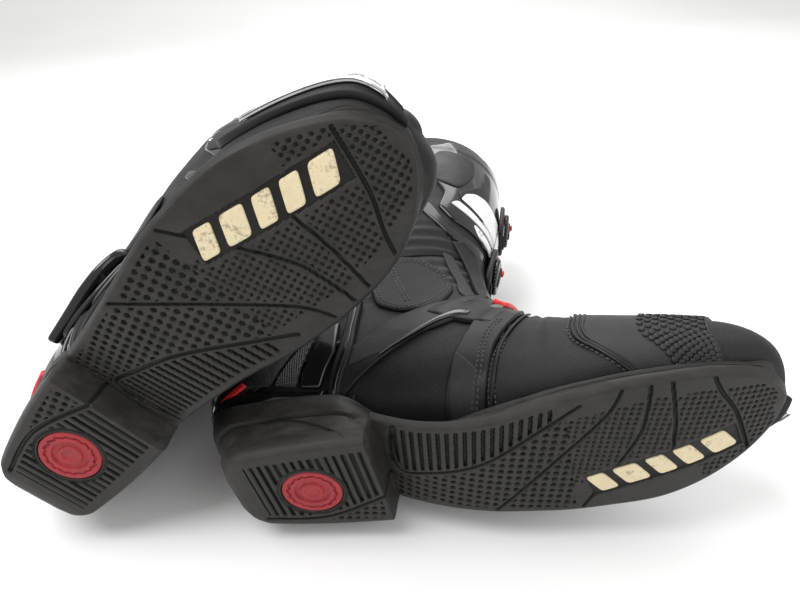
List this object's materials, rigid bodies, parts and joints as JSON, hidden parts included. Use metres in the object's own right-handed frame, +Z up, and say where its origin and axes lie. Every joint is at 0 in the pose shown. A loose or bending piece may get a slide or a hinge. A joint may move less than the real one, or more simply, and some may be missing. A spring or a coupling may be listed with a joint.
{
  "type": "riding boots",
  "caption": "Pair of tall black riding boots with moulded plates, ankle braces, dial buckles and textured rubber soles, lying on their sides.",
  "frame": {"origin": "centre of the pair's footprint on the floor", "axes": "+Z up from the floor, +X along the left boot to its toe, +Y along the shafts away from the soles"},
  "size_m": [0.4418, 0.346, 0.2487],
  "materials": {
    "sole_rubber": "matt moulded rubber with a fine grain",
    "disc_rubber": "matt moulded red rubber",
    "inlay": "matt pale rubber",
    "board": "pressed fibre board",
    "lining": "knitted lining",
    "microfibre": "fine-grained matt microfibre",
    "grip_pad": "embossed pad",
    "satin_plastic": "satin moulded",
    "chrome": "bright plate",
    "gloss_shell": "glossy moulded",
    "red_plastic": "bright red",
    "stretch_fabric": "ribbed stretch fabric"
  },
  "bodies": {
    "left_boot": {"left_outsole": "sole_rubber", "left_heel_disc": "disc_rubber", "left_sole_inlay": "inlay", "left_insole_board": "board", "left_footbed": "lining", "left_foot_upper": "microfibre", "left_toe_pad": "grip_pad", "left_toe_slider_base": "satin_plastic", "left_toe_slider": "chrome", "left_heel_cup": "gloss_shell", "left_heel_insert": "chrome", "left_ankle_pad": "microfibre", "left_instep_strap": "satin_plastic", "left_instep_plate": "red_plastic", "left_brace_lower": "gloss_shell", "left_pivot_screw": "chrome", "left_ankle_gaiter": "stretch_fabric"},
    "left_cuff": {"left_brace_arm": "gloss_shell", "left_shaft": "microfibre", "left_collar": "lining", "left_shin_plate": "gloss_shell", "left_calf_plate": "satin_plastic", "left_upper_buckle_base": "satin_plastic", "left_lower_buckle_base": "satin_plastic"},
    "left_upper_dial": {"left_upper_dial": "satin_plastic"},
    "left_upper_lever": {"left_upper_lever": "gloss_shell"},
    "left_upper_button": {"left_upper_button": "red_plastic"},
    "left_lower_dial": {"left_lower_dial": "satin_plastic"},
    "left_lower_lever": {"left_lower_lever": "gloss_shell"},
    "left_lower_button": {"left_lower_button": "red_plastic"},
    "right_boot": {"right_outsole": "sole_rubber", "right_heel_disc": "disc_rubber", "right_sole_inlay": "inlay", "right_insole_board": "board", "right_footbed": "lining", "right_foot_upper": "microfibre", "right_toe_pad": "grip_pad", "right_toe_slider_base": "satin_plastic", "right_toe_slider": "chrome", "right_heel_cup": "gloss_shell", "right_heel_insert": "chrome", "right_ankle_pad": "microfibre", "right_instep_strap": "satin_plastic", "right_instep_plate": "red_plastic", "right_brace_lower": "gloss_shell", "right_pivot_screw": "chrome", "right_ankle_gaiter": "stretch_fabric"},
    "right_cuff": {"right_brace_arm": "gloss_shell", "right_shaft": "microfibre", "right_collar": "lining", "right_shin_plate": "gloss_shell", "right_calf_plate": "satin_plastic", "right_upper_buckle_base": "satin_plastic", "right_lower_buckle_base": "satin_plastic"},
    "right_upper_dial": {"right_upper_dial": "satin_plastic"},
    "right_upper_lever": {"right_upper_lever": "gloss_shell"},
    "right_upper_button": {"right_upper_button": "red_plastic"},
    "right_lower_dial": {"right_lower_dial": "satin_plastic"},
    "right_lower_lever": {"right_lower_lever": "gloss_shell"},
    "right_lower_button": {"right_lower_button": "red_plastic"}
  },
  "joints": [
    {"name": "right_boot_lift", "type": "slide", "parent": "left_boot", "child": "right_boot", "axis": [-0.34, 0, 0.9404], "range_m": [0, 0.2]},
    {"name": "left_ankle_flex", "type": "hinge", "parent": "left_boot", "child": "left_cuff", "pos_m": [0.002, -0.06045, 0.05529], "axis": [0.1936, 0.0509, -0.9798], "range_deg": [0, 16], "deforming": ["left_ankle_gaiter"]},
    {"name": "left_upper_dial_turn", "type": "hinge", "parent": "left_cuff", "child": "left_upper_dial", "pos_m": [0.11671, 0.08281, 0.07272], "axis": [0.984, -0.1782, -0.0066], "continuous": true},
    {"name": "left_upper_lever_flip", "type": "hinge", "parent": "left_upper_dial", "child": "left_upper_lever", "pos_m": [0.11355, 0.07324, 0.07202], "axis": [0.0062, 0.071, -0.9975], "range_deg": [0, 85]},
    {"name": "left_upper_button_press", "type": "slide", "parent": "left_cuff", "child": "left_upper_button", "axis": [-0.1782, -0.9814, -0.0709], "range_m": [0, 0.0015], "stiffness_N_per_m": 300},
    {"name": "left_lower_dial_turn", "type": "hinge", "parent": "left_cuff", "child": "left_lower_dial", "pos_m": [0.09973, 0.01506, 0.06718], "axis": [0.962, -0.2689, -0.0465], "continuous": true},
    {"name": "left_lower_lever_flip", "type": "hinge", "parent": "left_lower_dial", "child": "left_lower_lever", "pos_m": [0.09567, 0.00583, 0.0666], "axis": [-0.0271, 0.0754, -0.9968], "range_deg": [0, 85]},
    {"name": "left_lower_button_press", "type": "slide", "parent": "left_cuff", "child": "left_lower_button", "axis": [-0.2716, -0.9602, -0.0652], "range_m": [0, 0.0015], "stiffness_N_per_m": 300},
    {"name": "right_ankle_flex", "type": "hinge", "parent": "right_boot", "child": "right_cuff", "pos_m": [-0.135, -0.05145, 0.0791], "axis": [0.6697, -0.0285, -0.7421], "range_deg": [-12, 0], "deforming": ["right_ankle_gaiter"]},
    {"name": "right_upper_dial_turn", "type": "hinge", "parent": "right_cuff", "child": "right_upper_dial", "pos_m": [-0.06309, 0.10043, 0.1549], "axis": [0.5966, -0.1052, 0.7956], "continuous": true},
    {"name": "right_upper_lever_flip", "type": "hinge", "parent": "right_upper_dial", "child": "right_upper_lever", "pos_m": [-0.06483, 0.09063, 0.15315], "axis": [0.7975, -0.034, -0.6024], "range_deg": [0, 85]},
    {"name": "right_upper_button_press", "type": "slide", "parent": "right_cuff", "child": "right_upper_button", "axis": [-0.0905, -0.9939, -0.0636], "range_m": [0, 0.0015], "stiffness_N_per_m": 300},
    {"name": "right_lower_dial_turn", "type": "hinge", "parent": "right_cuff", "child": "right_lower_dial", "pos_m": [-0.07264, 0.03145, 0.14717], "axis": [0.5583, -0.1988, 0.8055], "continuous": true},
    {"name": "right_lower_lever_flip", "type": "hinge", "parent": "right_lower_dial", "child": "right_lower_lever", "pos_m": [-0.07486, 0.02194, 0.14461], "axis": [0.8172, -0.036, -0.5753], "range_deg": [0, 85]},
    {"name": "right_lower_button_press", "type": "slide", "parent": "right_cuff", "child": "right_lower_button", "axis": [-0.1434, -0.9794, -0.1424], "range_m": [0, 0.0015], "stiffness_N_per_m": 300}
  ]
}
